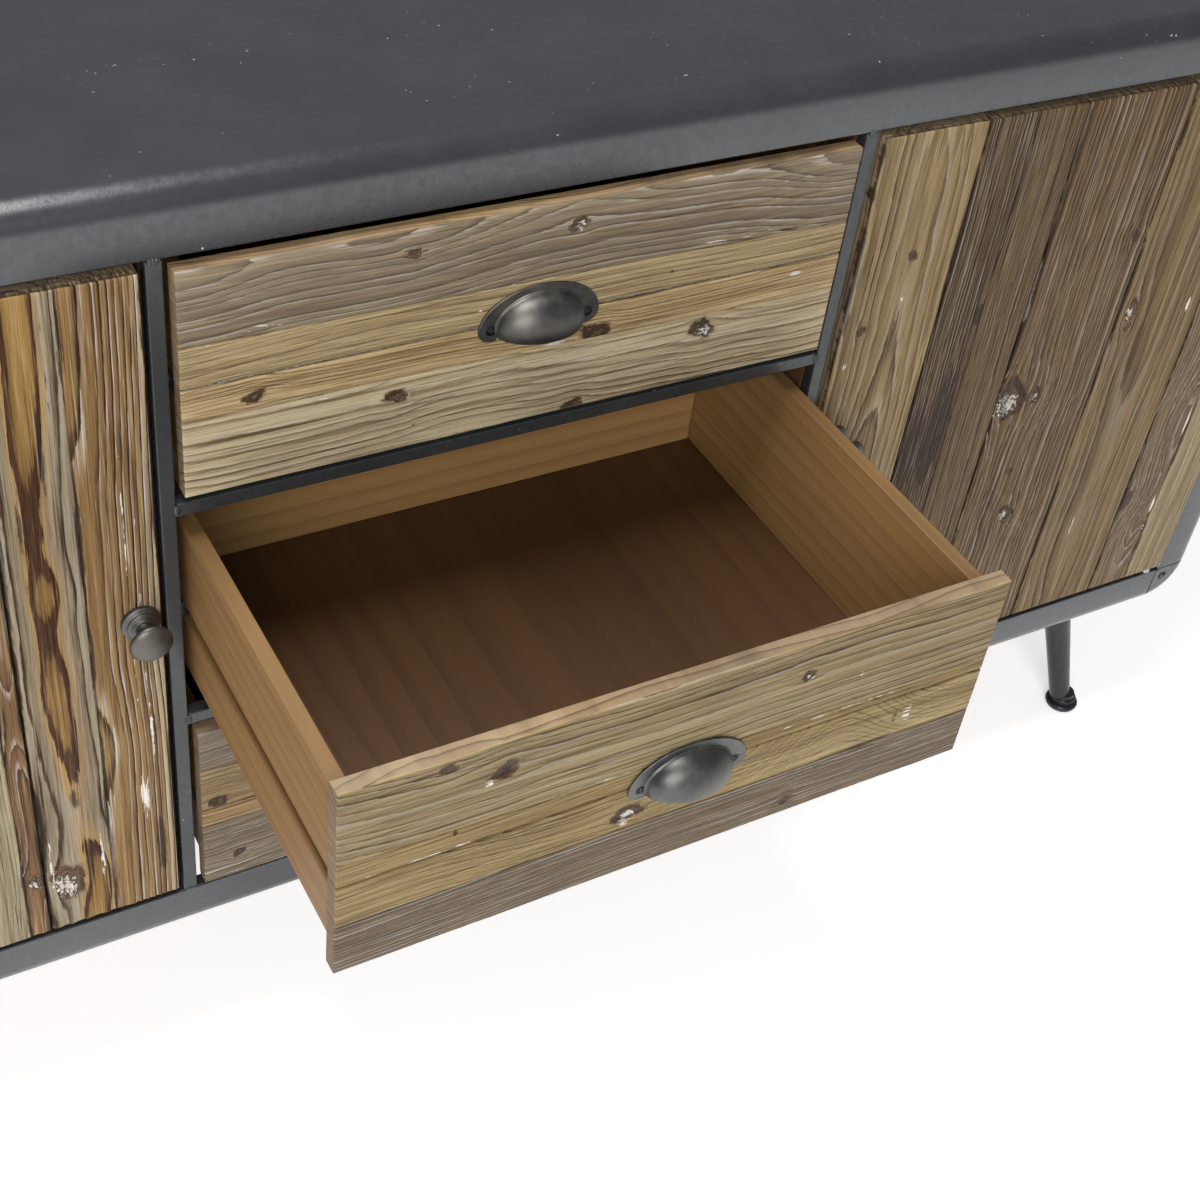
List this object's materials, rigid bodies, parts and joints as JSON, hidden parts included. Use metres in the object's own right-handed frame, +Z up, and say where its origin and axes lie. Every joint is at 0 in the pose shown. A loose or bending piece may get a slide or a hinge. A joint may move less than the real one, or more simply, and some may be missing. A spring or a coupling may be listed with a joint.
{
  "type": "sideboard buffet",
  "caption": "Sideboard with a rolled steel case on splayed legs, a centre stack of drawers with cup pulls, and a plank door with a knob on each side.",
  "frame": {"origin": "on the floor, under the middle of the object's box at rest, with the middle drawer pulled out", "axes": "+X to the right along the front, +Y from the front to the back, +Z up"},
  "size_m": [1.484, 0.6324, 0.783],
  "materials": {
    "case_steel": "satin gunmetal lacquer on rolled sheet steel",
    "frame_bar": "satin gunmetal lacquer on square bar",
    "leg_steel": "satin gunmetal lacquer on tapered tube",
    "inner_board": "dark stained board",
    "reclaimed_fir": "wire-brushed reclaimed fir with old lime wash in the grain",
    "batten_fir": "planed fir",
    "drawer_pine": "oiled pine",
    "drawer_ply": "brown stained plywood",
    "runner": "black",
    "aged_iron": "aged, waxed",
    "pin_steel": "turned"
  },
  "bodies": {
    "carcass": {"top_skin": "case_steel", "left_side_skin": "case_steel", "right_side_skin": "case_steel", "bottom_front_rail": "case_steel", "bottom_rear_rail": "case_steel", "top_left_corner": "case_steel", "top_right_corner": "case_steel", "bottom_left_corner": "case_steel", "bottom_right_corner": "case_steel", "left_upright": "frame_bar", "right_upright": "frame_bar", "upper_drawer_rail": "frame_bar", "lower_drawer_rail": "frame_bar", "left_divider": "inner_board", "right_divider": "inner_board", "back_panel": "inner_board", "left_bay_floor": "inner_board", "right_bay_floor": "inner_board", "left_shelf": "inner_board", "right_shelf": "inner_board", "upper_drawer_left_runner": "runner", "upper_drawer_right_runner": "runner", "middle_drawer_left_runner": "runner", "middle_drawer_right_runner": "runner", "lower_drawer_left_runner": "runner", "lower_drawer_right_runner": "runner", "front_left_leg": "leg_steel", "front_right_leg": "leg_steel", "rear_left_leg": "leg_steel", "rear_right_leg": "leg_steel"},
    "left_door": {"left_door_panel": "reclaimed_fir", "left_door_upper_batten": "batten_fir", "left_door_lower_batten": "batten_fir", "left_door_top_pin": "pin_steel", "left_door_bottom_pin": "pin_steel", "left_door_knob": "aged_iron"},
    "right_door": {"right_door_panel": "reclaimed_fir", "right_door_upper_batten": "batten_fir", "right_door_lower_batten": "batten_fir", "right_door_top_pin": "pin_steel", "right_door_bottom_pin": "pin_steel", "right_door_knob": "aged_iron"},
    "upper_drawer": {"upper_drawer_front": "reclaimed_fir", "upper_drawer_left_side": "drawer_pine", "upper_drawer_right_side": "drawer_pine", "upper_drawer_back": "drawer_pine", "upper_drawer_bottom": "drawer_ply", "upper_drawer_pull": "aged_iron"},
    "middle_drawer": {"middle_drawer_front": "reclaimed_fir", "middle_drawer_left_side": "drawer_pine", "middle_drawer_right_side": "drawer_pine", "middle_drawer_back": "drawer_pine", "middle_drawer_bottom": "drawer_ply", "middle_drawer_pull": "aged_iron"},
    "lower_drawer": {"lower_drawer_front": "reclaimed_fir", "lower_drawer_left_side": "drawer_pine", "lower_drawer_right_side": "drawer_pine", "lower_drawer_back": "drawer_pine", "lower_drawer_bottom": "drawer_ply", "lower_drawer_pull": "aged_iron"}
  },
  "joints": [
    {"name": "left_door_hinge", "type": "hinge", "parent": "carcass", "child": "left_door", "pos_m": [-0.6875, -0.05985, 0.227], "axis": [0, 0, -1], "range_deg": [0, 110]},
    {"name": "right_door_hinge", "type": "hinge", "parent": "carcass", "child": "right_door", "pos_m": [0.6875, -0.05985, 0.227], "axis": [0, 0, 1], "range_deg": [0, 110]},
    {"name": "upper_drawer_slide", "type": "slide", "parent": "carcass", "child": "upper_drawer", "axis": [0, -1, 0], "range_m": [0, 0.27]},
    {"name": "middle_drawer_slide", "type": "slide", "parent": "carcass", "child": "middle_drawer", "axis": [0, -1, 0], "range_m": [-0.228, 0.042]},
    {"name": "lower_drawer_slide", "type": "slide", "parent": "carcass", "child": "lower_drawer", "axis": [0, -1, 0], "range_m": [0, 0.27]}
  ]
}
